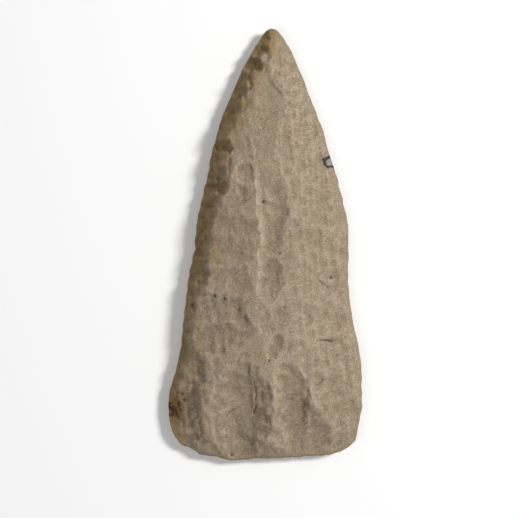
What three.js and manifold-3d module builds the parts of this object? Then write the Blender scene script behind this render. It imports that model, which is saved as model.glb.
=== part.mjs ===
// A knapped flint blade, lying on its back face with the worked face up and the tip toward +Y.
// Millimetres, +Z up. The origin is the middle of the plan, on the resting plane.
import * as THREE from 'three';
import { mergeVertices } from 'three/addons/utils/BufferGeometryUtils.js';
import Module from 'manifold-3d';

// Driving dimensions, in millimetres
const BLADE_LENGTH = 150;
const BLADE_WIDTH = 67.4;
const EDGE_HEIGHT = 4;
const EDGE_THICKNESS = 0.4;
const CREST_HEIGHT = 9;
const BASE_TAPER = 26;
const BACK_BEVEL = 11;
const THINNING_HALF_WIDTH = 5;
const THINNING_DEPTH = 1;
const RETOUCH_HALF_WIDTH = 2.2;
const RETOUCH_REACH = 6;
const RETOUCH_DEPTH = 0.5;
const BACK_SCAR_PITCH = 12;
const BACK_SCAR_HALF_WIDTH = 6.5;
const BACK_SCAR_REACH = 10;
const BACK_SCAR_DEPTH = 0.3;
const CUTTER_CLEARANCE = 2;

// The survey grid: steps from base to tip and from side to side, its zero in the middle
const GRID_ALONG = 150;
const GRID_ACROSS = 67.4;
const alongStep = BLADE_LENGTH / GRID_ALONG;
const acrossStep = BLADE_WIDTH / GRID_ACROSS;

// Sharpness of the section left and right of the ridge, and of the base taper, as powers
const LEFT_POWER = 4.5;
const RIGHT_POWER = 1.8;
const TAPER_POWER = 2.2;

// Outline in grid steps: left side from the tip down, base from left to right, right side up to the tip
const LEFT_SIDE = [
  [1.8, 75], [0.4, 74.4], [-1, 72.6], [-4.4, 67.2], [-7.6, 61.6], [-12.5, 50.3], [-14.9, 44.8],
  [-16.8, 38.5], [-18.9, 31], [-19.9, 24.5], [-23.5, 10.4], [-24.3, 3.5], [-24.6, -1.5],
  [-26.7, -10.5], [-28.6, -28], [-29.2, -35], [-31, -43.5], [-33.2, -50.5], [-33.7, -56],
  [-33.2, -61.5], [-31.7, -66.3],
];
const BASE_SIDE = [
  [-29.4, -69.3], [-25.8, -70.7], [-22.8, -72.9], [-17.5, -73.6], [-11.5, -75], [-3, -74.3],
  [6, -74.1], [14, -73.5], [20.5, -73.2], [25, -72.3], [28.8, -70.4], [31.4, -68],
];
const RIGHT_SIDE = [
  [32.4, -63], [33.7, -56.5], [33.5, -42.5], [32.3, -34.5], [30.6, -27.5], [29.5, -20],
  [28.9, -12], [29.1, 5.5], [28.2, 11], [24.4, 25.5], [21.9, 32.7], [20.2, 39.8],
  [15.7, 50.8], [12.9, 58.5], [8.9, 67.5], [6.7, 71.3], [4.6, 74.2], [3.3, 74.9],
];

// Crest height as a share of CREST_HEIGHT, and the ridge line, both along the grid
const CREST = [[-75, 0.93], [-20, 0.99], [5, 1], [25, 0.93], [45, 0.76], [60, 0.56], [68, 0.42], [75, 0.14]];
const RIDGE = [[-75, 4], [-45, 1], [-20, -3.5], [0, -2], [28, -2.5], [45, 2], [75, 2.5]];

// Thinning scars: strike point, end point, half width and depth.
// Points are grid steps; widths and depths are multiples of the thinning sizes.
const UPPER_FACE_SCARS = [
  [14, 57.5, 2.2, 64, 1.3, 0.3], [16.5, 49, 5, 56.5, 1, 0.25], [9.3, 67.5, 2.2, 71, 0.8, 0.25],
  [-0.5, 59, 2, 29, 1.2, 0.4], [8.5, 48, 9, 27, 0.9, 0.2],
];
const RIGHT_SIDE_SCARS = [
  [21, 36, 9, 44, 1.7, 0.25], [25, 21.5, 10.5, 30, 1.6, 0.3], [28.6, 8, 10.5, 15, 1.6, 0.3],
  [29.1, -3.5, 10, 1, 1.4, 0.25], [29.4, -17, 10.5, -12.5, 1.6, 0.35], [31, -28.5, 11, -26, 1.3, 0.25],
  [33, -40, 16.5, -36.5, 1.3, 0.3], [25.5, -14, 15, -5, 1, 0.2],
];
const LEFT_SIDE_SCARS = [
  [-11.5, 37, -3.5, 30, 0.8, 0.25], [-15, 14, -3.5, 19, 0.9, 0.3], [-18, 6, -2.2, 5, 1.1, 0.35],
  [-19, -3, -2.8, -3, 1.1, 0.3], [-20, -13, -4, -14, 1.3, 0.35], [-24, -24, -5, -22, 1.2, 0.3],
  [-24.5, -33, -3, -31, 1.1, 0.25],
];
const GROOVE_SCARS = [
  [3.6, 22, 1.7, -4.5, 0.9, 1.7], [2.6, -4, 0.2, -20.8, 0.9, 1.7], [10, -22, -2, -29, 1, 0.3],
];
const BASAL_SCARS = [
  [-28, -64.5, -23, -37, 1, 0.25], [-9, -74.8, -7.5, -37.5, 2.1, 0.4], [11, -73.5, 8, -40, 1.4, 0.4],
  [29, -67, 21.5, -44, 1.4, 0.3], [19.5, -72.5, 17.5, -56, 1, 0.3],
];
const SCOOPS = [
  [-9, 28.6, -6.3, 20.5, 0.65, 0.8], [-11.5, 19.5, -6.5, 14.5, 0.6, 0.3], [-10.5, -21.5, -7, -28.5, 0.7, 0.35],
  [4.3, -30.3, 1.3, -40, 0.52, 0.9], [8.6, -34, 3.2, -39.6, 0.3, 0.3], [-15, -58, -12, -73, 0.75, 0.3],
  [-26.5, -71, -22.5, -60, 0.7, 0.3], [20.3, -46, 16.5, -49.5, 0.35, 0.25], [24, 22.5, 20.5, 25.5, 0.45, 0.25],
];
const THINNING_SCARS = [
  ...UPPER_FACE_SCARS, ...RIGHT_SIDE_SCARS, ...LEFT_SIDE_SCARS, ...GROOVE_SCARS, ...BASAL_SCARS, ...SCOOPS,
];

// Steep retouch on the left edge: height on the edge, then reach, half width and depth as multiples
const LEFT_RETOUCH = [
  [71.8, 0.5, 0.8, 0.4], [67, 1, 1.1, 0.7], [61.8, 1.3, 1.15, 0.8], [57.4, 0.8, 0.9, 0.9], [53, 1.05, 1, 0.7],
  [49.6, 0.8, 0.7, 0.7], [46.2, 0.95, 1, 0.8], [42, 1, 1, 0.6], [37.8, 0.8, 0.9, 1.2], [33.8, 1.25, 0.9, 0.6],
  [30.4, 0.8, 0.6, 0.6], [26.8, 0.85, 0.9, 1.2], [23.3, 1.3, 0.9, 0.8], [18.8, 1.45, 1.2, 0.9], [14.3, 1.1, 0.95, 1.1],
  [10.4, 1.15, 1, 0.8], [6.6, 1.1, 0.8, 0.6], [2.4, 0.85, 1, 1.1], [-2.6, 0.95, 1.1, 1.2], [-7.2, 1.2, 1, 0.8],
  [-11.4, 1.2, 1, 0.7], [-16, 0.6, 0.9, 0.8], [-20.4, 0.5, 0.9, 0.5], [-24.8, 0.5, 1, 0.7], [-29.4, 0.45, 1, 0.5],
  [-34, 0.5, 1.1, 0.7], [-38.8, 0.6, 1.1, 0.5], [-43.8, 0.5, 1.2, 0.5], [-49.2, 0.5, 1.2, 0.4],
  [-54.8, 0.6, 1.3, 0.4], [-60.4, 0.6, 1.2, 0.4],
];

// Mesh density of the preform and of the cutters
const RINGS = 9;
const BACK_RINGS = 3;
const THINNING_MESH = { sides: 18, rings: 4 };
const RETOUCH_MESH = { sides: 12, rings: 3 };

const toPlan = ([gx, gy]) => [gx * acrossStep, gy * alongStep];
const leftSide = LEFT_SIDE.map(toPlan);
const baseSide = BASE_SIDE.map(toPlan);
const rightSide = RIGHT_SIDE.map(toPlan);
const outline = [...leftSide, ...baseSide, ...rightSide];
const tip = leftSide[0];
const leftChain = [...leftSide].reverse();
const rightChain = [baseSide.at(-1), ...rightSide, tip];
const baseChain = [leftSide.at(-1), ...baseSide];
const crestLine = CREST.map(([gy, share]) => [gy * alongStep, share * CREST_HEIGHT]);
const ridgeLine = RIDGE.map(([gy, gx]) => [gy * alongStep, gx * acrossStep]);

// Straight-line reading of a table of [at, value] rows, held at its ends
function lookUp(table, at) {
  if (at <= table[0][0]) return table[0][1];
  for (let i = 1; i < table.length; i += 1) {
    const [a, va] = table[i - 1];
    const [b, vb] = table[i];
    if (at <= b) return va + (vb - va) * (at - a) / (b - a);
  }
  return table.at(-1)[1];
}
const byHeight = (chain) => chain.map(([x, y]) => [y, x]);
const leftByHeight = byHeight(leftChain);
const rightByHeight = byHeight(rightChain);

// The worked face before the last scars: a low crest between the edges, thinned toward the base
function preformTop(x, y) {
  const left = lookUp(leftByHeight, y);
  const right = lookUp(rightByHeight, y);
  const ridge = lookUp(ridgeLine, y);
  const reach = x > ridge ? right - ridge : ridge - left;
  const share = Math.min(Math.abs(x - ridge) / Math.max(reach, EDGE_THICKNESS), 1);
  const fromBase = Math.min(Math.max((y - lookUp(baseChain, x)) / BASE_TAPER, 0), 1);
  const taper = 1 - (1 - fromBase) ** TAPER_POWER;
  const power = x > ridge ? RIGHT_POWER : LEFT_POWER;
  return EDGE_HEIGHT + lookUp(crestLine, y) * (1 - share ** power) * taper;
}

// A closed lens: rings from the middle out to the edge on top, and a bevel down to a flat on the back
function preformGeometry() {
  const points = [];
  const faces = [];
  const addRing = (share, height) => {
    outline.forEach(([x, y]) => points.push(x * share, y * share, height(x * share, y * share)));
  };
  for (let ring = 0; ring <= RINGS; ring += 1) {
    const share = ring / RINGS;
    addRing(share, ring === RINGS ? () => EDGE_HEIGHT : preformTop);
  }
  addRing(1, () => EDGE_HEIGHT - EDGE_THICKNESS);
  const bevelShare = 1 - BACK_BEVEL / (BLADE_WIDTH / 2);
  for (let ring = 1; ring <= BACK_RINGS; ring += 1) {
    const share = ring / BACK_RINGS;
    const drop = (EDGE_HEIGHT - EDGE_THICKNESS) * (1 - share) ** 2;
    addRing(1 + (bevelShare - 1) * share, () => drop);
  }
  addRing(0, () => 0);
  const count = outline.length;
  const rows = RINGS + BACK_RINGS + 2;
  for (let row = 0; row < rows; row += 1) {
    for (let i = 0; i < count; i += 1) {
      const a = row * count + i;
      const b = row * count + (i + 1) % count;
      faces.push(a, a + count, b, b, a + count, b + count);
    }
  }
  const geometry = new THREE.BufferGeometry();
  geometry.setAttribute('position', new THREE.Float32BufferAttribute(points, 3));
  geometry.setIndex(faces);
  return geometry;
}

const wasm = await Module();
wasm.setup();

function solidOf(geometry) {
  const bare = geometry.clone();
  bare.deleteAttribute('normal');
  bare.deleteAttribute('uv');
  const merged = mergeVertices(bare, 1e-4);
  const index = merged.index.array;
  const kept = [];
  for (let i = 0; i < index.length; i += 3) {
    const [a, b, c] = [index[i], index[i + 1], index[i + 2]];
    if (a !== b && b !== c && c !== a) kept.push(a, b, c);
  }
  return new wasm.Manifold(new wasm.Mesh({
    numProp: 3,
    vertProperties: new Float32Array(merged.attributes.position.array),
    triVerts: new Uint32Array(kept),
  }));
}

// Each scar is a bowl: a paraboloid through four rim points on the face as it stands when the flake is struck
const bowls = [];
const bowlHeight = (bowl, x, y) => {
  const u = ((x - bowl.x) * bowl.ex + (y - bowl.y) * bowl.ey) / bowl.halfLength;
  const v = ((y - bowl.y) * bowl.ex - (x - bowl.x) * bowl.ey) / bowl.halfWidth;
  return bowl.floor + bowl.slope * u + bowl.tilt * v + bowl.rimAlong * u * u + bowl.rimAcross * v * v;
};
const workedTop = (x, y) => bowls.reduce((z, bowl) => Math.min(z, bowlHeight(bowl, x, y)), preformTop(x, y));

function strike([ax, ay], [bx, by], halfWidth, depth, density) {
  const x = (ax + bx) / 2;
  const y = (ay + by) / 2;
  const halfLength = Math.hypot(bx - ax, by - ay) / 2;
  const ex = (bx - ax) / 2 / halfLength;
  const ey = (by - ay) / 2 / halfLength;
  const start = workedTop(ax, ay);
  const end = workedTop(bx, by);
  const near = workedTop(x - ey * halfWidth, y + ex * halfWidth);
  const far = workedTop(x + ey * halfWidth, y - ex * halfWidth);
  const floor = Math.min((start + end) / 2, (near + far) / 2) - depth;
  const bowl = {
    x, y, ex, ey, halfLength, halfWidth, floor, density,
    turn: Math.PI / 2,
    slope: (end - start) / 2,
    tilt: (near - far) / 2,
    rimAlong: (start + end) / 2 - floor,
    rimAcross: (near + far) / 2 - floor,
    lid: workedTop(x, y) - floor + CUTTER_CLEARANCE + Math.abs(end - start) / 2,
  };
  bowls.push(bowl);
}

function bowlCutter(bowl) {
  const profile = [new THREE.Vector2(0, 0)];
  for (let ring = 1; ring <= bowl.density.rings; ring += 1) {
    const share = ring / bowl.density.rings;
    profile.push(new THREE.Vector2(Math.sqrt(bowl.lid) * share, bowl.lid * share * share));
  }
  profile.push(new THREE.Vector2(0, bowl.lid));
  const geometry = new THREE.LatheGeometry(profile, bowl.density.sides);
  geometry.rotateX(bowl.turn);
  const long = bowl.halfLength / Math.sqrt(bowl.rimAlong);
  const wide = bowl.halfWidth / Math.sqrt(bowl.rimAcross);
  const place = new THREE.Matrix4().set(
    bowl.ex * long, -bowl.ey * wide, 0, bowl.x,
    bowl.ey * long, bowl.ex * wide, 0, bowl.y,
    bowl.slope * long / bowl.halfLength, bowl.tilt * wide / bowl.halfWidth, 1, bowl.floor,
    0, 0, 0, 1,
  );
  geometry.applyMatrix4(place);
  return solidOf(geometry);
}

for (const [ax, ay, bx, by, width, depth] of THINNING_SCARS) {
  const halfWidth = width * THINNING_HALF_WIDTH;
  strike(toPlan([ax, ay]), toPlan([bx, by]), halfWidth, depth * THINNING_DEPTH, THINNING_MESH);
}
for (const [gy, reach, width, depth] of LEFT_RETOUCH) {
  const y = gy * alongStep;
  const x = lookUp(leftByHeight, y);
  const end = [x + reach * RETOUCH_REACH, y];
  strike([x, y], end, width * RETOUCH_HALF_WIDTH, depth * RETOUCH_DEPTH, RETOUCH_MESH);
}

// Shallow scars all round the back, from the edge in to the flat that the blade rests on
function backBowls() {
  const shape = new THREE.Shape(outline.map(([x, y]) => new THREE.Vector2(x, y)));
  const count = Math.round(shape.getLength() / BACK_SCAR_PITCH);
  const rim = EDGE_HEIGHT - EDGE_THICKNESS;
  return shape.getSpacedPoints(count).slice(0, count).map((point, i) => {
    const reach = BACK_SCAR_REACH * (1 + 0.25 * Math.sin(i * 2.4));
    const inward = new THREE.Vector2(-point.x, point.y * -BLADE_WIDTH / BLADE_LENGTH).normalize();
    const middle = point.clone().addScaledVector(inward, reach / 2);
    const ceiling = rim / 2 + BACK_SCAR_DEPTH;
    return {
      x: middle.x, y: middle.y, ex: inward.x, ey: inward.y,
      halfLength: reach / 2,
      halfWidth: BACK_SCAR_HALF_WIDTH,
      floor: ceiling,
      slope: -rim / 2,
      tilt: 0,
      rimAlong: BACK_SCAR_DEPTH,
      rimAcross: ceiling - rim / 4,
      lid: ceiling + CUTTER_CLEARANCE,
      density: THINNING_MESH,
      turn: -Math.PI / 2,
    };
  });
}

let stone = solidOf(preformGeometry());
for (const bowl of [...bowls, ...backBowls()]) {
  stone = stone.subtract(bowlCutter(bowl));
}

function geometryOf(solid) {
  const mesh = solid.getMesh();
  const geometry = new THREE.BufferGeometry();
  geometry.setAttribute('position', new THREE.Float32BufferAttribute(mesh.vertProperties, mesh.numProp));
  geometry.setIndex(Array.from(mesh.triVerts));
  geometry.computeVertexNormals();
  return geometry;
}

const flint = new THREE.MeshStandardMaterial({ color: 0x9c8c76, roughness: 0.6, metalness: 0 });
const bladeGeometry = geometryOf(stone);
bladeGeometry.computeBoundingBox();
const bounds = bladeGeometry.boundingBox;
bladeGeometry.translate(-(bounds.min.x + bounds.max.x) / 2, -(bounds.min.y + bounds.max.y) / 2, -bounds.min.z);
const blade = new THREE.Mesh(bladeGeometry, flint);
blade.name = 'flint_blade';

const part = new THREE.Group();
part.add(blade);
export default part;
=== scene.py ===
"""A knapped flint blade: its looks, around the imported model. Metres, Z up, tip toward +Y."""
import math

import bpy
import numpy as np
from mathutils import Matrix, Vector


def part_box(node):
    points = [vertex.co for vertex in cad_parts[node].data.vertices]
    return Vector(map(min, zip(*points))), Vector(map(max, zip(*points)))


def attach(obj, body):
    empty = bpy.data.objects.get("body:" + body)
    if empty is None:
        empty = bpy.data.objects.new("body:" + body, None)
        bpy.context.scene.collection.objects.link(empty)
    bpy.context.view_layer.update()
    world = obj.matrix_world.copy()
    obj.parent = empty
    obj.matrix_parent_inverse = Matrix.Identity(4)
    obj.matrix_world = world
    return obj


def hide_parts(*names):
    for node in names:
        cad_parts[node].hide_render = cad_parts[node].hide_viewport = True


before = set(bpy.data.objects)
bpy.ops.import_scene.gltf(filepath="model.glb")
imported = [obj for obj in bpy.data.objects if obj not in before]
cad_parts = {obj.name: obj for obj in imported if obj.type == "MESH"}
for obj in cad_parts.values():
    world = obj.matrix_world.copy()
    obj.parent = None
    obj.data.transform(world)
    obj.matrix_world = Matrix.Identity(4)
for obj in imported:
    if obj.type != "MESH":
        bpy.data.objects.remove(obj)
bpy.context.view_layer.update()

MM = 0.001
low, high = (Vector(corner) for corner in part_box("flint_blade"))
MIDDLE = (low + high) / 2
LENGTH = (high.y - low.y) / MM
WIDTH = (high.x - low.x) / MM
TOP = (high.z - low.z) / MM

# The survey grid of the blade: steps along and across, its zero in the middle
GRID_ALONG = 150.0
GRID_ACROSS = 67.4
ALONG = LENGTH / GRID_ALONG
ACROSS = WIDTH / GRID_ACROSS

# The photograph: its side in pixels, the blade's length there, and the blade's middle in it
IMAGE_SIDE = 518
PHOTO_LENGTH = 433.0
PHOTO_MIDDLE = (265.25, 244.75)

# Outline chains in grid steps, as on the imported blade: up the left side, along the base, up the right side
# and over the tip
LEFT_SIDE = [
    (-31.7, -66.3), (-33.2, -61.5), (-33.7, -56.0), (-33.2, -50.5), (-31.0, -43.5), (-29.2, -35.0),
    (-28.6, -28.0), (-26.7, -10.5), (-24.6, -1.5), (-24.3, 3.5), (-23.5, 10.4), (-19.9, 24.5),
    (-18.9, 31.0), (-16.8, 38.5), (-14.9, 44.8), (-12.5, 50.3), (-7.6, 61.6), (-4.4, 67.2),
    (-1.0, 72.6),
]
BASE_SIDE = [
    (-31.7, -66.3), (-29.4, -69.3), (-25.8, -70.7), (-22.8, -72.9), (-17.5, -73.6), (-11.5, -75.0),
    (-3.0, -74.3), (6.0, -74.1), (14.0, -73.5), (20.5, -73.2), (25.0, -72.3), (28.8, -70.4),
    (31.4, -68.0),
]
RIGHT_SIDE = [
    (31.4, -68.0), (32.4, -63.0), (33.7, -56.5), (33.5, -42.5), (32.3, -34.5), (30.6, -27.5),
    (29.5, -20.0), (28.9, -12.0), (29.1, 5.5), (28.2, 11.0), (24.4, 25.5), (21.9, 32.7),
    (20.2, 39.8), (15.7, 50.8), (12.9, 58.5), (8.9, 67.5), (6.7, 71.3), (4.6, 74.2),
]
TIP_SIDE = [
    (-1.0, 72.6), (0.4, 74.4), (1.8, 75.0), (3.3, 74.9), (4.6, 74.2),
]

# In millimetres: the edge's height above the resting plane and its thickness, the crest's height above the
# edge, and the length of the base's taper. Then the powers that shape the left side, the right and the taper.
EDGE_HEIGHT = 4.0
EDGE_THICKNESS = 0.4
CREST_HEIGHT = 9.0
BASE_TAPER = 26.0
LEFT_POWER, RIGHT_POWER, TAPER_POWER = 4.5, 1.8, 2.2

# The crest's height as a share of CREST_HEIGHT and the ridge's line, both along the grid
CREST = [
    (-75, 0.93), (-20, 0.99), (5, 1.0), (25, 0.93), (45, 0.76), (60, 0.56), (68, 0.42), (75, 0.14),
]
RIDGE = [
    (-75, 4.0), (-45, 1.0), (-20, -3.5), (0, -2.0), (28, -2.5), (45, 2.0), (75, 2.5),
]

# Flake scars: strike point and end point in grid steps, half width and depth as multiples of these sizes
THINNING_HALF_WIDTH, THINNING_DEPTH = 5.0, 1.0
UPPER_FACE_SCARS = [
    (14.0, 57.5, 2.2, 64.0, 1.3, 0.3), (16.5, 49.0, 5.0, 56.5, 1.0, 0.25),
    (9.3, 67.5, 2.2, 71.0, 0.8, 0.25), (-0.5, 59.0, 2.0, 29.0, 1.2, 0.4),
    (8.5, 48.0, 9.0, 27.0, 0.9, 0.2),
]
RIGHT_SIDE_SCARS = [
    (21.0, 36.0, 9.0, 44.0, 1.7, 0.25), (25.0, 21.5, 10.5, 30.0, 1.6, 0.3),
    (28.6, 8.0, 10.5, 15.0, 1.6, 0.3), (29.1, -3.5, 10.0, 1.0, 1.4, 0.25),
    (29.4, -17.0, 10.5, -12.5, 1.6, 0.35), (31.0, -28.5, 11.0, -26.0, 1.3, 0.25),
    (33.0, -40.0, 16.5, -36.5, 1.3, 0.3), (25.5, -14.0, 15.0, -5.0, 1.0, 0.2),
]
LEFT_SIDE_SCARS = [
    (-11.5, 37.0, -3.5, 30.0, 0.8, 0.25), (-15.0, 14.0, -3.5, 19.0, 0.9, 0.3),
    (-18.0, 6.0, -2.2, 5.0, 1.1, 0.35), (-19.0, -3.0, -2.8, -3.0, 1.1, 0.3),
    (-20.0, -13.0, -4.0, -14.0, 1.3, 0.35), (-24.0, -24.0, -5.0, -22.0, 1.2, 0.3),
    (-24.5, -33.0, -3.0, -31.0, 1.1, 0.25),
]
GROOVE_SCARS = [
    (4.5, 21.5, 2.0, -4.5, 0.85, 1.2), (3.0, -4.0, 0.6, -20.8, 0.85, 1.2),
    (10.0, -22.0, -2.0, -29.0, 1.0, 0.3),
]
BASAL_SCARS = [
    (-28.0, -64.5, -23.0, -37.0, 1.0, 0.25), (-9.0, -74.8, -7.5, -37.5, 2.1, 0.4),
    (11.0, -73.5, 8.0, -40.0, 1.4, 0.4), (29.0, -67.0, 21.5, -44.0, 1.4, 0.3),
    (19.5, -72.5, 17.5, -56.0, 1.0, 0.3),
]
SCOOPS = [
    (-9.0, 28.6, -6.3, 20.5, 0.65, 0.8), (-11.5, 19.5, -6.5, 14.5, 0.6, 0.3),
    (-10.5, -21.5, -7.0, -28.5, 0.7, 0.35), (4.3, -30.3, 1.3, -40.0, 0.52, 0.9),
    (8.6, -34.0, 3.2, -39.6, 0.3, 0.3), (-15.0, -58.0, -12.0, -73.0, 0.75, 0.3),
    (-26.5, -71.0, -22.5, -60.0, 0.7, 0.3), (20.3, -46.0, 16.5, -49.5, 0.35, 0.25),
    (24.0, 22.5, 20.5, 25.5, 0.45, 0.25),
]
THINNING_SCARS = UPPER_FACE_SCARS + RIGHT_SIDE_SCARS + LEFT_SIDE_SCARS
THINNING_SCARS += GROOVE_SCARS + BASAL_SCARS + SCOOPS

# Steep retouch on the left edge: the strike's place along the grid, then reach, half width and depth as
# multiples of these sizes
RETOUCH_HALF_WIDTH, RETOUCH_REACH, RETOUCH_DEPTH = 2.2, 6.0, 0.5
LEFT_RETOUCH = [
    (71.8, 0.5, 0.8, 0.4), (67.0, 1.0, 1.1, 0.7), (61.8, 1.3, 1.15, 0.8), (57.4, 0.8, 0.9, 0.9),
    (53.0, 1.05, 1.0, 0.7), (49.6, 0.8, 0.7, 0.7), (46.2, 0.95, 1.0, 0.8), (42.0, 1.0, 1.0, 0.6),
    (37.8, 0.8, 0.9, 1.2), (33.8, 1.25, 0.9, 0.6), (30.4, 0.8, 0.6, 0.6), (26.8, 0.85, 0.9, 1.2),
    (23.3, 1.3, 0.9, 0.8), (18.8, 1.45, 1.2, 0.9), (14.3, 1.1, 0.95, 1.1), (10.4, 1.15, 1.0, 0.8),
    (6.6, 1.1, 0.8, 0.6), (2.4, 0.85, 1.0, 1.1), (-2.6, 0.95, 1.1, 1.2), (-7.2, 1.2, 1.0, 0.8),
    (-11.4, 1.2, 1.0, 0.7), (-16.0, 0.6, 0.9, 0.8), (-20.4, 0.5, 0.9, 0.5), (-24.8, 0.5, 1.0, 0.7),
    (-29.4, 0.45, 1.0, 0.5), (-34.0, 0.5, 1.1, 0.7), (-38.8, 0.6, 1.1, 0.5), (-43.8, 0.5, 1.2, 0.5),
    (-49.2, 0.5, 1.2, 0.4), (-54.8, 0.6, 1.3, 0.4), (-60.4, 0.6, 1.2, 0.4),
]

# Fine ridges: depth and width in millimetres of the step down, reach of the slope back up, and a chain of
# grid points. The low side lies to the left of the way that the chain runs.
RIDGES = [
    (0.8, 1.8, 4.0, [
        (-4.5, 28), (-3.5, 24), (-3.5, 20), (-2.5, 16), (-3.5, 12), (-2, 8), (-1.5, 3), (-2.5, -5),
        (-2.3, -10), (-3, -15), (-4, -20),
    ]),
    (0.3, 0.8, 3.0, [(-6.5, 29.5), (-8.5, 28.3), (-9.8, 26), (-10.0, 23.5), (-8.8, 20.8)]),
    (0.45, 0.9, 3.0, [(4.0, -29.5), (2.0, -32.0), (0.8, -35.5), (0.6, -38.0), (1.5, -39.8)]),
    (0.35, 0.8, 2.0, [(7.2, -32.5), (7.6, -34.0), (6.3, -36.6), (4.6, -38.6), (2.6, -40.0)]),
    (0.45, 1.3, 5.0, [(2.5, -40), (2.8, -47), (3.5, -52), (4.5, -57.5), (5.3, -62), (7, -67), (6.5, -71)]),
    (0.4, 1.1, 4.0, [
        (10.5, -37), (12.5, -39.5), (11.5, -42), (13, -45), (15, -49), (16.5, -53), (18.5, -58),
    ]),
    (0.25, 1.0, 4.0, [(24.3, -57), (24.0, -63), (24.3, -71)]),
    (0.25, 1.1, 4.0, [(-21.5, -35), (-18.5, -42), (-17.5, -50), (-19, -53), (-22, -56)]),
    (0.35, 2.0, 3.0, [(-20.5, -72.0), (-22.5, -65), (-24, -59)]),
    (0.3, 1.2, 4.0, [(-3.5, -68), (-6, -66.5), (-8.5, -64), (-9.5, -60), (-10.3, -56.5)]),
    (0.35, 1.0, 4.0, [(4.5, 29), (5.5, 25), (7.5, 21), (9, 15), (10, 11), (12, 6.5)]),
    (0.2, 0.6, 2.0, [(0.3, 21.5), (1.0, 19), (2.5, 16.6)]),
    (0.2, 0.5, 1.5, [(-1.2, 20.5), (-0.2, 18), (1.2, 15.6)]),
    (0.18, 0.6, 2.5, [(10.2, -12), (9.6, -17), (10.1, -24)]),
    (0.28, 0.8, 2.5, [(18.3, -31), (17.5, -33), (16, -36), (16.5, -39.5)]),
    (0.35, 1.6, 3.0, [(1.9, 58), (1.6, 63), (1.9, 67), (1.9, 73)]),
    (0.4, 1.4, 4.0, [(9.5, 48.5), (6.0, 52.5), (3.5, 55.5), (1.2, 59.0)]),
    (0.3, 1.2, 4.0, [(-7.5, 40), (-5.5, 36), (-4.0, 32), (-4.5, 28)]),
    (0.25, 1.0, 4.0, [(-11.0, 21.0), (-9.5, 17.5), (-8.0, 13.5)]),
    (0.25, 1.0, 3.0, [(5.0, -20.0), (1.0, -20.9), (-3.5, -20.2)]),
    (0.25, 1.0, 4.0, [(-12.0, -9.0), (-13.5, -14.0), (-12.5, -19.0), (-13.5, -23.0)]),
    (0.35, 0.8, 2.0, [(-8.0, 60.0), (-5.5, 59.2), (-3.0, 60.0), (-0.5, 62.0)]),
    (0.35, 0.8, 2.0, [(-10.8, 53.4), (-8.5, 52.2), (-6.0, 52.8), (-3.5, 55.0)]),
    (0.3, 0.8, 1.6, [(-12.6, 49.4), (-10.8, 48.6), (-8.8, 49.4), (-7.0, 51.2)]),
    (0.35, 0.8, 2.0, [(-14.8, 44.4), (-12.2, 43.0), (-10.0, 43.8), (-8.0, 46.6)]),
    (0.3, 0.8, 1.6, [(-16.2, 39.8), (-14.0, 38.6), (-11.8, 39.4), (-10.0, 41.8)]),
    (0.35, 0.8, 2.0, [(-17.8, 33.4), (-15.4, 32.2), (-13.0, 33.2), (-10.8, 36.2)]),
    (0.3, 0.8, 1.6, [(-18.8, 28.8), (-16.6, 27.8), (-14.4, 28.6), (-12.0, 31.0)]),
    (0.35, 0.8, 2.0, [(-19.6, 25.4), (-17.0, 23.6), (-14.6, 24.2), (-12.4, 26.8)]),
    (0.3, 0.8, 2.0, [(-20.8, 20.2), (-18.4, 18.8), (-16.2, 19.2), (-13.6, 21.6)]),
    (0.35, 0.8, 2.0, [(-22.6, 12.6), (-20.4, 11.0), (-18.2, 11.4), (-16.4, 13.6)]),
    (0.3, 0.8, 2.0, [(-23.8, 5.4), (-21.8, 3.6), (-20.0, 3.8), (-18.4, 6.0)]),
    (0.35, 0.8, 2.0, [(-24.4, -1.8), (-22.2, -3.6), (-20.0, -3.2), (-18.6, -1.0)]),
    (0.4, 1.0, 3.0, [(-18.6, -4.0), (-19.8, 0.0), (-19.2, 3.6), (-17.8, 7.0)]),
    (0.4, 1.0, 3.0, [(-16.4, 9.5), (-15.4, 14.5), (-12.8, 19.0), (-11.8, 25.0), (-10.8, 31.0)]),
]

# Cracks: strength, half width in millimetres and a chain of grid points
CRACKS = [
    (0.8, 0.26, [(-5.5, -40.8), (-5.6, -42.6), (-6.0, -44.0)]),
    (0.5, 0.25, [(-4.2, -45.5), (-3.6, -48.5)]),
    (0.8, 0.26, [(-3.6, -48.0), (-3.1, -51.5), (-3.4, -55.5), (-4.0, -58.0)]),
    (0.4, 0.25, [(17.6, -33.1), (19.8, -32.8)]),
    (1.0, 0.32, [(19.8, -32.8), (21.4, -32.9), (22.7, -33.4)]),
    (0.4, 0.25, [(22.7, -33.4), (24.2, -33.9)]),
    (0.6, 0.26, [(-13.4, -59.0), (-12.2, -57.6), (-10.6, -56.4)]),
    (0.35, 0.3, [(10.2, -13.4), (12.0, -13.2), (13.4, -12.6), (15.2, -12.4), (17.0, -11.9)]),
    (0.6, 0.3, [(18.3, -12.4), (19.4, -13.4), (20.9, -14.1), (22.0, -15.0)]),
    (0.35, 0.3, [(10.3, -13.4), (10.0, -15.4), (10.3, -17.2)]),
    (0.5, 0.3, [(18.0, -48.6), (19.0, -47.2), (20.0, -46.4)]),
    (0.35, 0.3, [(0.5, 20.0), (1.3, 18.4), (2.5, 17.0)]),
    (0.5, 0.3, [(-17.4, -15.6), (-17.2, -17.6), (-16.8, -19.4)]),
    (0.4, 0.25, [(-8.6, -63.6), (-7.6, -65.0), (-5.2, -67.2)]),
]

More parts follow.
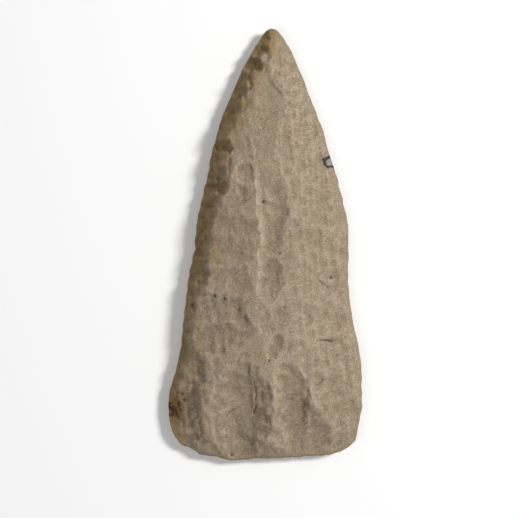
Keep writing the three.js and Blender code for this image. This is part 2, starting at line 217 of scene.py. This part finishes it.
# Pits: a grid point and a radius in millimetres
PITS = [
    (-0.8, 14.6, 0.5), (22.7, -11.3, 0.55), (-28.8, -51.6, 0.5), (-28.0, -53.6, 0.6),
    (-30.0, -51.0, 0.4), (-17.3, -17.6, 0.5), (-14.0, -18.5, 0.5), (-9.0, -22.4, 0.4),
    (-11.6, -72.6, 0.5), (-6.2, -66.3, 0.4), (24.7, -38.1, 0.4), (4.9, -3.0, 0.4),
    (6.3, -21.4, 0.35), (1.3, -39.6, 0.5),
]

# The fresh chip on the right edge, and the rust stain at the lower left, in grid steps
CHIP = (22.3, 28.6)
STAIN = (-31.6, -56.8)
STAIN_CORE = (-32.0, -56.8)

# Fine relief in millimetres: rounding where scars meet, flake ripples, cracks, the chip, the most that a nick
# takes, and the margin along the edge over which the relief fades out
SOFTNESS = 0.02
RIPPLE_HEIGHT, RIPPLE_PITCH = 0.03, 2.1
CRACK_DEPTH = 0.45
CHIP_DEPTH, CHIP_RADIUS = 0.5, 1.7
NICK_LIMIT = 0.5
CALM_MARGIN = 3.0

# Factors on the depth of the fine ridges, and on the chip's reach across and along the blade
RIDGE_GAIN = 1.35
CHIP_WIDE, CHIP_LONG = 1.15, 0.95

# The share of its length over which a fine ridge fades in at each end
RIDGE_ENDING = 0.15

# The painted highlight along a fine ridge: its fade as a share of the step's width, its onset in millimetres,
# its strength for each millimetre of the step's depth, its least strength, and its level before the patches
LINE_FADE, LINE_ONSET = 0.45, 0.3
LINE_GAIN, LINE_LEAST, LINE_EVEN = 2, 0.35, 0.8

# The back: width of its bevel and its roundness, and the margins between which its lobes lie
BACK_BEVEL, BACK_POWER = 11.0, 1.25
LOBE_START, LOBE_END = 2.5, 13.0

# The stone's least thickness: its growth from the edge inward, and its limit in millimetres; then the gap
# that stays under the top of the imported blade's box
THICKENING, LEAST_THICKNESS = 0.4, 1.5
TOP_CLEARANCE = 0.02

# Smooth random waves: how many are summed, and the spread of their pitch
WAVE_COUNT, WAVE_SPREAD = 14, (0.7, 1.5)

# Layers of such waves: height and size of the features in millimetres, and seed
EDGE_NICKS = [(0.13, 4.5, 3), (0.05, 1.6, 4)]
WARP_ACROSS = [(0.6, 14.0, 11), (0.5, 4.5, 12), (0.2, 2.0, 13)]
WARP_ALONG = [(0.6, 14.0, 21), (0.5, 4.5, 22), (0.2, 2.0, 23)]
SWELL = [(0.04, 7.0, 31)]
GRAIN_RELIEF = [(0.025, 2.4, 32), (0.02, 1.2, 33)]
BACK_LOBES = [(0.35, 15.0, 41), (0.12, 5.0, 42)]
BAND_WANDER = [(1.5, 7.0, 51)]
CRACK_WANDER = [(0.15, 2.6, 61)]
CHIP_RAGGED = [(0.35, 2.2, 62)]
RIDGE_WANDER = [(0.35, 6.0, 71), (0.12, 1.8, 72)]
RIDGE_PATCHES = [(0.5, 3.5, 73)]

# Painted shade in hollows and painted highlight on crests: passes of smoothing that give the face without
# its relief, and gain of what stands out from it
SHADING_PASSES, SHADING_GAIN = 14, 5.0

# The left band's painted shade and browner tone narrow toward the base: from this height, over this length,
# by this much, in millimetres
BAND_TURN, BAND_LENGTH, BAND_NARROWING = -8.0, 15.0, 3.0

# Rows and columns of the blade's mesh on each face, and the points and rounding of its outline
ROWS, COLUMNS = 330, 148
CURVE_POINTS, ROUNDING_PASSES = 400, 6

# Colours of the patina and of its painted shade and highlights, with the levels of noise that they belong to
# where they make a ramp
PATINA = [(0.32, (0.25, 0.187, 0.12)), (0.5, (0.29, 0.223, 0.145)), (0.68, (0.33, 0.26, 0.175))]
GRAIN = [(0.34, (0.13, 0.092, 0.054)), (0.5, (0.29, 0.226, 0.148)), (0.66, (0.52, 0.43, 0.31))]
RUST = [(0.42, (0.035, 0.018, 0.009)), (0.52, (0.10, 0.045, 0.012)), (0.62, (0.30, 0.13, 0.02))]
PINK = (0.42, 0.25, 0.16)
OLIVE = (0.22, 0.20, 0.13)
OCHRE = (0.42, 0.29, 0.07)
# Painted shade in the hollows
HOLLOW_SHADE = (0.17, 0.125, 0.08)
# Painted highlight on the crests
CREST_HIGHLIGHT = (0.56, 0.49, 0.40)
# Painted highlight along the fine ridges
RIDGE_HIGHLIGHT = (0.54, 0.46, 0.35)
PALE_HAIR = (0.56, 0.48, 0.36)
DARK_HAIR = (0.12, 0.085, 0.05)
EDGE_BROWN = (0.27, 0.175, 0.07)
# Painted shade of the steep left band, with a browner tone
BAND_SHADE_BROWN = (0.235, 0.15, 0.055)
STAIN_HALO = (0.17, 0.095, 0.03)
CRACK_DARK = (0.035, 0.025, 0.018)
CHIP_RIM = (0.035, 0.028, 0.02)
CHIP_GREY = (0.30, 0.27, 0.23)

# Shares of the patina's layers, then its shine, its range of roughness, and its bump with a depth in metres
GRAIN_SHARE, MOTTLE_SHARE = 0.68, 0.2
SPECULAR, SMOOTHEST, ROUGHEST = 0.3, 0.55, 0.72
BUMP_STRENGTH, BUMP_DEPTH = 0.9, 0.00018

# Speckles: scale and detail of the noise, where they start, where they are full and how strong, and colour
SPECKLES = [
    (620.0, 2.0, 0.55, 0.68, 0.28, PINK),
    (450.0, 2.0, 0.56, 0.68, 0.22, OLIVE),
    (1300.0, 1.0, 0.66, 0.72, 0.7, OCHRE),
]
# Hair lines: scale and half width of the lines in noise, scale and start of their patches, and colour
HAIRS = [(330.0, 0.014, 150.0, 0.48, PALE_HAIR), (410.0, 0.012, 190.0, 0.5, DARK_HAIR)]

# The studio: lamps as place in metres, side in metres and power in watts; then the world and the floor
KEY_LAMP = ((0.80, 0.32, 0.78), 0.25, 12.4)
FILL_LAMP = ((-0.5, -0.4, 1.1), 1.0, 2.2)
WORLD_STRENGTH = 0.28
FLOOR_REACH, FLOOR_DROP = 3.0, 0.0002
FLOOR_WHITE, FLOOR_GLOW = 0.9, 0.1

# The camera: lens and sensor in millimetres, and the height above the resting plane that is to scale
LENS, SENSOR = 120.0, 36.0
SCALE_HEIGHT = 4.0


def reader(chain, at=1, value=0):
    """A straight-line reading of a chain of grid points, in millimetres."""
    steps = (ACROSS, ALONG)
    rows = sorted((point[at] * steps[at], point[value] * steps[value]) for point in chain)
    keys = [row[0] for row in rows]
    values = [row[1] for row in rows]
    return lambda where: np.interp(where, keys, values)


left_edge = reader(LEFT_SIDE + TIP_SIDE[1:3])
right_edge = reader(RIGHT_SIDE + TIP_SIDE[2:4])
base_edge = reader(BASE_SIDE, 0, 1)
crest_keys = [gy * ALONG for gy, _ in CREST]
crest_heights = [part * CREST_HEIGHT for _, part in CREST]
ridge_keys = [gy * ALONG for gy, _ in RIDGE]
ridge_places = [gx * ACROSS for _, gx in RIDGE]

# Fine nibbling of both edges: how many, which edge, inward direction, reach and depth in millimetres
NIBBLES = [(46, left_edge, 1, 2.6, 0.3), (40, right_edge, -1, 1.5, 0.12)]
# Their spread: places along the grid, factors on the reach, slant, half width in millimetres and factors on
# the depth
NIBBLE_SEED = 7
NIBBLE_START, NIBBLE_END, NIBBLE_JITTER = -62, 70, 0.9
NIBBLE_REACH, NIBBLE_SLANT = (0.6, 1.4), (-0.4, 0.25)
NIBBLE_HALF_WIDTH, NIBBLE_DEPTH = (0.8, 1.7), (0.4, 1.2)


def waves(x, y, size, seed):
    """Smooth random height with features of about the given size, mostly between -1 and 1."""
    random = np.random.RandomState(seed)
    total = np.zeros_like(x)
    for _ in range(WAVE_COUNT):
        turn = random.uniform(0, 2 * math.pi)
        pitch = size * random.uniform(*WAVE_SPREAD)
        phase = random.uniform(0, 2 * math.pi)
        total += np.sin((x * math.cos(turn) + y * math.sin(turn)) * 2 * math.pi / pitch + phase)
    return total / math.sqrt(WAVE_COUNT)


def layered(x, y, layers):
    """The sum of several layers of waves, each with its height, size and seed."""
    return sum(height * waves(x, y, size, seed) for height, size, seed in layers)


def share(value):
    """A value held between 0 and 1."""
    return np.clip(value, 0, 1)


def preform_top(x, y):
    """The worked face before the scars, in millimetres above the resting plane."""
    left, right = left_edge(y), right_edge(y)
    ridge = np.interp(y, ridge_keys, ridge_places)
    reach = np.maximum(np.where(x > ridge, right - ridge, ridge - left), EDGE_THICKNESS)
    outward = np.minimum(np.abs(x - ridge) / reach, 1)
    taper = 1 - (1 - share((y - base_edge(x)) / BASE_TAPER)) ** TAPER_POWER
    power = np.where(x > ridge, RIGHT_POWER, LEFT_POWER)
    return EDGE_HEIGHT + np.interp(y, crest_keys, crest_heights) * (1 - outward ** power) * taper


class Scar:
    """A shallow bowl through four rim points on the face as it stands when the flake is struck."""

    def __init__(self, face, start, end, half_width, depth):
        (ax, ay), (bx, by) = start, end
        self.x, self.y = (ax + bx) / 2, (ay + by) / 2
        self.half_length = math.hypot(bx - ax, by - ay) / 2
        self.half_width = half_width
        self.ex = (bx - ax) / 2 / self.half_length
        self.ey = (by - ay) / 2 / self.half_length
        rim_x = np.array([ax, bx, self.x - self.ey * half_width, self.x + self.ey * half_width])
        rim_y = np.array([ay, by, self.y + self.ex * half_width, self.y - self.ex * half_width])
        za, zb, zc, zd = face(rim_x, rim_y)
        self.floor = min((za + zb) / 2, (zc + zd) / 2) - depth
        self.slope, self.tilt = (zb - za) / 2, (zc - zd) / 2
        self.along = (za + zb) / 2 - self.floor
        self.across = (zc + zd) / 2 - self.floor

    def height(self, x, y):
        u = ((x - self.x) * self.ex + (y - self.y) * self.ey) / self.half_length
        v = ((y - self.y) * self.ex - (x - self.x) * self.ey) / self.half_width
        return self.floor + self.slope * u + self.tilt * v + self.along * u * u + self.across * v * v

    def ripples(self, x, y):
        """Rings that spread from the strike point."""
        start_x = self.x - self.ex * self.half_length
        start_y = self.y - self.ey * self.half_length
        return np.sin(np.hypot(x - start_x, y - start_y) * 2 * math.pi / RIPPLE_PITCH)


def knap():
    """Strikes every scar in turn on the preform."""
    scars = []

    def face(x, y):
        z = preform_top(x, y)
        for scar in scars:
            z = np.minimum(z, scar.height(x, y))
        return z

    for ax, ay, bx, by, width, depth in THINNING_SCARS:
        start, end = (ax * ACROSS, ay * ALONG), (bx * ACROSS, by * ALONG)
        scars.append(Scar(face, start, end, width * THINNING_HALF_WIDTH, depth * THINNING_DEPTH))
    for gy, reach, width, depth in LEFT_RETOUCH:
        y = gy * ALONG
        x = float(left_edge(y))
        end = (x + reach * RETOUCH_REACH, y)
        scars.append(Scar(face, (x, y), end, width * RETOUCH_HALF_WIDTH, depth * RETOUCH_DEPTH))

    random = np.random.RandomState(NIBBLE_SEED)
    for count, edge, inward, reach, depth in NIBBLES:
        jitter = random.uniform(-NIBBLE_JITTER, NIBBLE_JITTER, count)
        for gy in np.linspace(NIBBLE_START, NIBBLE_END, count) + jitter:
            y = gy * ALONG
            x = float(edge(y))
            far = reach * random.uniform(*NIBBLE_REACH)
            end = (x + inward * far, y + far * random.uniform(*NIBBLE_SLANT))
            half_width = random.uniform(*NIBBLE_HALF_WIDTH)
            scars.append(Scar(face, (x, y), end, half_width, depth * random.uniform(*NIBBLE_DEPTH)))
    return scars


def beside_chain(x, y, chain):
    """Distance to a chain, side distance (positive on its left) and a fade to 0 at its ends."""
    best = np.full_like(x, np.inf)
    side = np.zeros_like(x)
    place = np.zeros_like(x)
    run = 0.0
    for (ax, ay), (bx, by) in zip(chain, chain[1:]):
        length = math.hypot(bx - ax, by - ay)
        t = share(((x - ax) * (bx - ax) + (y - ay) * (by - ay)) / length ** 2)
        far = np.hypot(x - ax - t * (bx - ax), y - ay - t * (by - ay))
        cross = (bx - ax) * (y - ay) - (by - ay) * (x - ax)
        closer = far < best
        side = np.where(closer, np.sign(cross) * far, side)
        place = np.where(closer, run + t * length, place)
        best = np.minimum(best, far)
        run += length
    ending = RIDGE_ENDING * run
    fade = share(place / ending) * share((run - place) / ending)
    return best, side, fade


def distance_to_chain(x, y, chain):
    return beside_chain(x, y, chain)[0]


def in_mm(chain):
    return [(gx * ACROSS, gy * ALONG) for gx, gy in chain]


def rounded(chain, shares):
    """Points at the given shares of a chain's length, its corners rounded a little."""
    points = np.array(chain)
    run = np.concatenate([[0], np.cumsum(np.hypot(*np.diff(points, axis=0).T))])
    run /= run[-1]
    dense = np.linspace(0, 1, CURVE_POINTS)
    curve = np.stack([np.interp(dense, run, points[:, k]) for k in (0, 1)], 1)
    for _ in range(ROUNDING_PASSES):
        curve[1:-1] = (curve[:-2] + 2 * curve[1:-1] + curve[2:]) / 4
    return np.stack([np.interp(shares, dense, curve[:, k]) for k in (0, 1)], -1)


def plan():
    """A grid of plan points that fills the outline: rows from base to tip, columns from left to right."""
    s = np.linspace(0, 1, COLUMNS)
    t = np.linspace(0, 1, ROWS)
    bottom = rounded(in_mm(BASE_SIDE), s)[None]
    upper = rounded(in_mm(TIP_SIDE), s)[None]
    west = rounded(in_mm(LEFT_SIDE), t)[:, None]
    east = rounded(in_mm(RIGHT_SIDE), t)[:, None]
    ss, tt = s[None, :, None], t[:, None, None]
    corners = ((1 - ss) * (1 - tt) * bottom[:, :1] + ss * (1 - tt) * bottom[:, -1:]
               + (1 - ss) * tt * upper[:, :1] + ss * tt * upper[:, -1:])
    points = (1 - tt) * bottom + tt * upper + (1 - ss) * west + ss * east - corners
    x, y = points[..., 0], points[..., 1]
    nick = sum(height for height, _, _ in EDGE_NICKS) + layered(x, y, EDGE_NICKS)
    core = WIDTH / 4
    shrink = np.clip(nick, 0, NICK_LIMIT) / np.maximum(np.hypot(x, y), core)
    return points * (1 - shrink[..., None])


def border():
    """True on the points of the plan grid that lie on the blade's edge."""
    rim = np.zeros((ROWS, COLUMNS), bool)
    for line in (rim[0], rim[-1], rim[:, 0], rim[:, -1]):
        line[:] = True
    return rim


def worked_face(x, y, calm):
    """Height of the scarred face, before its fine relief."""
    wx = x + calm * layered(x, y, WARP_ACROSS)
    wy = y + calm * layered(x, y, WARP_ALONG)
    fields = [preform_top(wx, wy)]
    for scar in knap():
        fields.append(scar.height(wx, wy) + RIPPLE_HEIGHT * calm * scar.ripples(wx, wy))
    fields = np.stack(fields)
    lowest = fields.min(0)
    return lowest - SOFTNESS * np.log(np.exp(-(fields - lowest) / SOFTNESS).sum(0))


def ridge_lines(x, y):
    """How far the steps along the fine ridges go down, and the painted highlight along them, from 0 to 1."""
    drop = np.zeros_like(x)
    ridge_highlight = np.zeros_like(x)
    wandering = x + layered(x, y, RIDGE_WANDER)
    for depth, width, reach, chain in RIDGES:
        _, side, fade = beside_chain(wandering, y, in_mm(chain))
        wall = share(side / width) * np.exp(-np.clip(side - width, 0, None) / reach)
        drop += RIDGE_GAIN * depth * wall * fade
        # A pale line of painted highlight along the step
        line = np.exp(-np.clip(side, 0, None) / (LINE_FADE * width)) * share(side / LINE_ONSET + 1)
        ridge_highlight = np.maximum(ridge_highlight, line * fade * np.clip(depth * LINE_GAIN, LINE_LEAST, 1))
    return drop, ridge_highlight * share(LINE_EVEN + layered(x, y, RIDGE_PATCHES))


def cracks_and_pits(x, y):
    """1 in the middle of each full crack and pit, and 0 away from them."""
    crack = np.zeros_like(x)
    wandering = x + layered(x, y, CRACK_WANDER)
    for strength, half_width, chain in CRACKS:
        far = distance_to_chain(wandering, y, in_mm(chain))
        crack = np.maximum(crack, strength * np.exp(-(far / half_width) ** 2))
    for gx, gy, radius in PITS:
        far = np.hypot(x - gx * ACROSS, y - gy * ALONG)
        crack = np.maximum(crack, np.exp(-(far / radius) ** 2))
    return crack


def chip_distance(x, y):
    """Distance from the chip's middle in millimetres, drawn out across the blade and ragged."""
    across = (x - CHIP[0] * ACROSS) / CHIP_WIDE
    along = (y - CHIP[1] * ALONG) / CHIP_LONG
    return np.hypot(across, along) + layered(x, y, CHIP_RAGGED)


def back_face(x, y, inset):
    """Height of the back: a bevel round the edge, with shallow lobes, and a flat to rest on."""
    bevel = (EDGE_HEIGHT - EDGE_THICKNESS) * share(1 - inset / BACK_BEVEL) ** BACK_POWER
    lobes = layered(x, y, BACK_LOBES) * share(inset / LOBE_START) * share(1 - inset / LOBE_END)
    return np.maximum(bevel + lobes, 0)


# The mask for painted shade in hollows and painted highlight on crests
def relief_mask(scarred, calm):
    """0.5 on even ground, more on what stands out and less in hollows."""
    even = scarred.copy()
    for _ in range(SHADING_PASSES):
        even[1:-1, 1:-1] = (even[1:-1, :-2] + even[1:-1, 2:] + even[:-2, 1:-1] + even[2:, 1:-1]) / 4
    return share(0.5 + (scarred - even) * SHADING_GAIN * calm)


def left_band(x, y):
    """Distance from the left edge with a wander, raised toward the base to narrow the band there."""
    below = share((BAND_TURN - y) / BAND_LENGTH)
    return distance_to_chain(x, y, in_mm(LEFT_SIDE)) + layered(x, y, BAND_WANDER) + BAND_NARROWING * below


def blade_surfaces():
    """Plan points with the heights of the worked face and of the back, and masks for the patina and for
    painted shade and highlights.
    """
    points = plan()
    x, y = points[..., 0], points[..., 1]
    outline = in_mm(LEFT_SIDE + TIP_SIDE[1:] + RIGHT_SIDE[::-1][1:] + BASE_SIDE[::-1][1:])
    inset = distance_to_chain(x, y, outline)
    calm = share(inset / CALM_MARGIN)
    scarred = worked_face(x, y, calm)
    drop, ridge_highlight = ridge_lines(x, y)
    crack = cracks_and_pits(x, y)
    chip = chip_distance(x, y)
    top = scarred + layered(x, y, SWELL) * calm + layered(x, y, GRAIN_RELIEF) - drop
    top -= CRACK_DEPTH * crack + CHIP_DEPTH * np.exp(-(chip / CHIP_RADIUS) ** 4)

    back = back_face(x, y, inset)
    top = np.maximum(top, back + np.minimum(inset * THICKENING, LEAST_THICKNESS))
    edge = (top + back) / 2
    top = np.minimum(np.where(border(), edge, top), TOP - TOP_CLEARANCE)
    back = np.where(border(), edge, back)
    # Masks for the patina, for painted shade in hollows and for painted highlights on crests and ridges
    masks = {
        "relief_shading": relief_mask(scarred, calm), "ridge_highlight": ridge_highlight, "crack": crack, "chip": chip, "inset": inset,
        "band": left_band(x, y),
    }
    return points, top, back, masks


def blade_mesh():
    """One closed mesh: worked face and back on the same plan grid, welded along the edge."""
    points, top, back, masks = blade_surfaces()
    count = ROWS * COLUMNS
    index = np.arange(count).reshape(ROWS, COLUMNS)
    rim = border()
    under = np.where(rim, index, index + count)
    used = np.concatenate([np.ones(count, bool), ~rim.ravel()])
    renumber = np.cumsum(used) - 1
    plan_xy = points.reshape(-1, 2)
    upper = np.column_stack([plan_xy, top.ravel()])
    lower = np.column_stack([plan_xy, back.ravel()])
    verts = np.concatenate([upper, lower])[used] * MM + np.array([MIDDLE.x, MIDDLE.y, low.z])

    def quads(grid):
        a, b = grid[:-1, :-1].ravel(), grid[:-1, 1:].ravel()
        c, d = grid[1:, 1:].ravel(), grid[1:, :-1].ravel()
        return np.column_stack([a, b, c, d])

    faces = renumber[np.concatenate([quads(index), quads(under)[:, ::-1]])]
    mesh = bpy.data.meshes.new("flint_blade_knapped")
    mesh.from_pydata(verts.tolist(), [], faces.tolist())
    for name, mask in masks.items():
        values = np.concatenate([mask.ravel(), mask.ravel()])[used].astype(np.float32)
        mesh.attributes.new(name, "FLOAT", "POINT").data.foreach_set("value", values)
    mesh.shade_smooth()
    mesh.validate()
    mesh.update()
    return mesh


class Graph:
    """A new material, with short calls for its nodes."""

    def __init__(self, name):
        self.material = bpy.data.materials.new(name)
        self.material.use_nodes = True
        self.nodes = self.material.node_tree.nodes
        self.links = self.material.node_tree.links
        self.shader = self.nodes["Principled BSDF"]

    def output(self, kind, name):
        return self.nodes.new(kind).outputs[name]

    def feed(self, value, socket):
        """Sets a socket to a number or colour, or links it to another node's output."""
        if isinstance(value, (int, float)):
            socket.default_value = value
        elif isinstance(value, tuple):
            socket.default_value = (*value, 1.0)
        else:
            self.links.new(value, socket)

    def noise(self, scale, detail, rough=0.6):
        """Noise on the object's own coordinates, with the scale in features per metre."""
        node = self.nodes.new("ShaderNodeTexNoise")
        self.feed(scale, node.inputs["Scale"])
        self.feed(detail, node.inputs["Detail"])
        self.feed(rough, node.inputs["Roughness"])
        self.feed(self.output("ShaderNodeTexCoord", "Object"), node.inputs["Vector"])
        return node.outputs["Fac"]

    def attribute(self, name):
        node = self.nodes.new("ShaderNodeAttribute")
        node.attribute_name = name
        return node.outputs["Fac"]

    def ramp(self, value, stops):
        node = self.nodes.new("ShaderNodeValToRGB")
        band = node.color_ramp
        while len(band.elements) < len(stops):
            band.elements.new(0.5)
        for element, (at, colour) in zip(band.elements, stops):
            element.position = at
            element.color = (*colour, 1.0)
        self.feed(value, node.inputs["Fac"])
        return node.outputs["Color"]

    def grey(self, value, *stops):
        return self.ramp(value, [(at, (level, level, level)) for at, level in stops])

    def math(self, kind, first, second):
        node = self.nodes.new("ShaderNodeMath")
        node.operation = kind
        self.feed(first, node.inputs[0])
        self.feed(second, node.inputs[1])
        return node.outputs[0]

    def over(self, reach, value, *stops):
        """A ramp over a distance: the stops are shares of its reach."""
        return self.grey(self.math("MULTIPLY", value, 1 / reach), *stops)

    def mix(self, factor, first, second, kind="MIX"):
        node = self.nodes.new("ShaderNodeMix")
        node.data_type = "RGBA"
        node.blend_type = kind
        self.feed(factor, node.inputs["Factor"])
        self.feed(first, node.inputs["A"])
        self.feed(second, node.inputs["B"])
        return node.outputs["Result"]

    def near(self, point, size, softness):
        """1 near a grid point, falling to 0 at a noisy border, with the size in millimetres."""
        border_at, raggedness = 0.62, 0.9
        node = self.nodes.new("ShaderNodeVectorMath")
        node.operation = "DISTANCE"
        self.feed(self.output("ShaderNodeTexCoord", "Object"), node.inputs[0])
        node.inputs[1].default_value = (
            MIDDLE.x + point[0] * ACROSS * MM,
            MIDDLE.y + point[1] * ALONG * MM,
            low.z + EDGE_HEIGHT * MM,
        )
        far = self.math("MULTIPLY", node.outputs["Value"], 1 / (size * MM))
        ragged = self.math("MULTIPLY", self.noise(420.0, 4.0), raggedness)
        return self.over(2.0, self.math("ADD", far, ragged), (border_at - softness, 1.0), (border_at, 0.0))


def grained(graph):
    """The patina's mottled grain, with pink, olive and ochre speckles."""
    base = graph.ramp(graph.noise(70.0, 3.0), PATINA)
    grain = graph.ramp(graph.noise(2200.0, 3.0, 0.8), GRAIN)
    colour = graph.mix(GRAIN_SHARE, base, grain)
    mottle = graph.grey(graph.noise(850.0, 3.0), (0.35, 0.36), (0.65, 0.62))
    colour = graph.mix(MOTTLE_SHARE, colour, mottle, "OVERLAY")
    for scale, detail, start, full, strength, tint in SPECKLES:
        speckle = graph.grey(graph.noise(scale, detail), (start, 0.0), (full, strength))
        colour = graph.mix(speckle, colour, tint)
    return colour


def relief_shading(graph, colour):
    """Painted shade in hollows, painted highlights on crests and along the fine ridges, and short hair lines.
    """
    # Painted shade in the hollows and painted highlight on the crests
    colour = graph.mix(graph.grey(graph.attribute("relief_shading"), (0.1, 0.2), (0.42, 0.0)), colour, HOLLOW_SHADE)
    colour = graph.mix(graph.grey(graph.attribute("relief_shading"), (0.6, 0.0), (1.0, 0.12)), colour, CREST_HIGHLIGHT)
    # Painted highlight along the fine ridges
    colour = graph.mix(graph.grey(graph.attribute("ridge_highlight"), (0.1, 0.0), (0.9, 0.5)), colour, RIDGE_HIGHLIGHT)
    for scale, half, patch_scale, patch_start, tint in HAIRS:
        line = graph.grey(graph.noise(scale, 3.0), (0.5 - half, 0.0), (0.5, 1.0), (0.5 + half, 0.0))
        patch = graph.grey(graph.noise(patch_scale, 1.0), (patch_start, 0.0), (0.6, 0.6))
        colour = graph.mix(graph.math("MULTIPLY", line, patch), colour, tint)
    return colour


def stained(graph, colour):
    """Brown along the edges, painted shade with a browner tone on the left band, and the rust stain."""
    inset = graph.math("ADD", graph.attribute("inset"), graph.noise(300.0, 2.0))
    colour = graph.mix(graph.over(4.0, inset, (0.22, 0.3), (0.42, 0.0)), colour, EDGE_BROWN)
    # Painted shade on the steep left band, with a browner tone
    band = graph.over(20.0, graph.attribute("band"), (0.15, 0.8), (0.48, 0.0))
    colour = graph.mix(band, colour, BAND_SHADE_BROWN)
    colour = graph.mix(graph.near(STAIN, size=9.0, softness=0.3), colour, STAIN_HALO)
    rust = graph.ramp(graph.noise(700.0, 3.0), RUST)
    return graph.mix(graph.near(STAIN_CORE, size=5.0, softness=0.15), colour, rust)


def marked(graph, colour):
    """Dark cracks and pits, and the chip with its black rim."""
    colour = graph.mix(graph.grey(graph.attribute("crack"), (0.15, 0.0), (0.7, 0.85)), colour, CRACK_DARK)
    chip = graph.attribute("chip")
    colour = graph.mix(graph.over(4.0, chip, (0.50, 1.0), (0.62, 0.0)), colour, CHIP_RIM)
    return graph.mix(graph.over(4.0, chip, (0.25, 1.0), (0.33, 0.0)), colour, CHIP_GREY)


def material_flint():
    """Patinated flint: mottled grain, painted shade and highlights on the relief and the left band, dark
    cracks, a black-rimmed chip and a rust stain.
    """
    graph = Graph("flint_patina")
    colour = marked(graph, stained(graph, relief_shading(graph, grained(graph))))
    graph.feed(colour, graph.shader.inputs["Base Color"])
    graph.feed(SPECULAR, graph.shader.inputs["Specular IOR Level"])
    roughness = graph.grey(graph.noise(160.0, 3.0), (0.3, SMOOTHEST), (0.7, ROUGHEST))
    graph.feed(roughness, graph.shader.inputs["Roughness"])
    bump = graph.nodes.new("ShaderNodeBump")
    graph.feed(BUMP_STRENGTH, bump.inputs["Strength"])
    graph.feed(BUMP_DEPTH, bump.inputs["Distance"])
    graph.feed(graph.noise(1700.0, 4.0, 0.75), bump.inputs["Height"])
    graph.feed(bump.outputs["Normal"], graph.shader.inputs["Normal"])
    return graph.material


def blade():
    """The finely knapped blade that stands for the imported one."""
    mesh = blade_mesh()
    mesh.materials.append(material_flint())
    obj = bpy.data.objects.new("flint_blade_knapped", mesh)
    bpy.context.collection.objects.link(obj)
    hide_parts("flint_blade")
    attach(obj, "root")


def material_floor():
    """Pale floor that keeps the shadow. Its small glow whitens it, and lights the blade's rim too."""
    graph = Graph("floor_white")
    graph.feed((FLOOR_WHITE, FLOOR_WHITE, FLOOR_WHITE), graph.shader.inputs["Base Color"])
    graph.feed(1.0, graph.shader.inputs["Roughness"])
    graph.feed((1.0, 1.0, 1.0), graph.shader.inputs["Emission Color"])
    graph.feed(FLOOR_GLOW, graph.shader.inputs["Emission Strength"])
    return graph.material


def floor():
    """A square of floor just under the blade."""
    r = FLOOR_REACH
    z = low.z - FLOOR_DROP
    mesh = bpy.data.meshes.new("floor")
    mesh.from_pydata([(-r, -r, z), (r, -r, z), (r, r, z), (-r, r, z)], [], [(0, 1, 2, 3)])
    mesh.materials.append(material_floor())
    obj = bpy.data.objects.new("floor", mesh)
    bpy.context.collection.objects.link(obj)


def area_lamp(name, place, side, power):
    """A square lamp that looks at the origin."""
    lamp = bpy.data.lights.new(name, "AREA")
    lamp.shape = "SQUARE"
    lamp.size = side
    lamp.energy = power
    obj = bpy.data.objects.new(name, lamp)
    obj.location = place
    obj.rotation_euler = (-Vector(place)).to_track_quat("-Z", "Y").to_euler()
    bpy.context.collection.objects.link(obj)


def lights():
    """A key lamp from the right, which draws the relief, a soft fill and a white world."""
    area_lamp("key", *KEY_LAMP)
    area_lamp("fill", *FILL_LAMP)
    world = bpy.data.worlds.new("studio")
    world.use_nodes = True
    background = world.node_tree.nodes["Background"]
    background.inputs["Color"].default_value = (1.0, 1.0, 1.0, 1.0)
    background.inputs["Strength"].default_value = WORLD_STRENGTH
    bpy.context.scene.world = world


def camera():
    """Straight above the blade, the tip up in the picture."""
    per_pixel = LENGTH * MM / PHOTO_LENGTH
    view_side = IMAGE_SIDE * per_pixel
    data = bpy.data.cameras.new("camera")
    data.sensor_fit = "HORIZONTAL"
    data.sensor_width = SENSOR
    data.lens = LENS
    obj = bpy.data.objects.new("camera", data)
    x = (IMAGE_SIDE / 2 - PHOTO_MIDDLE[0]) * per_pixel
    y = (PHOTO_MIDDLE[1] - IMAGE_SIDE / 2) * per_pixel
    obj.location = (x, y, low.z + SCALE_HEIGHT * MM + view_side * LENS / SENSOR)
    bpy.context.collection.objects.link(obj)
    bpy.context.scene.camera = obj


camera()
blade()
floor()
lights()
bpy.context.scene.view_settings.view_transform = "Standard"
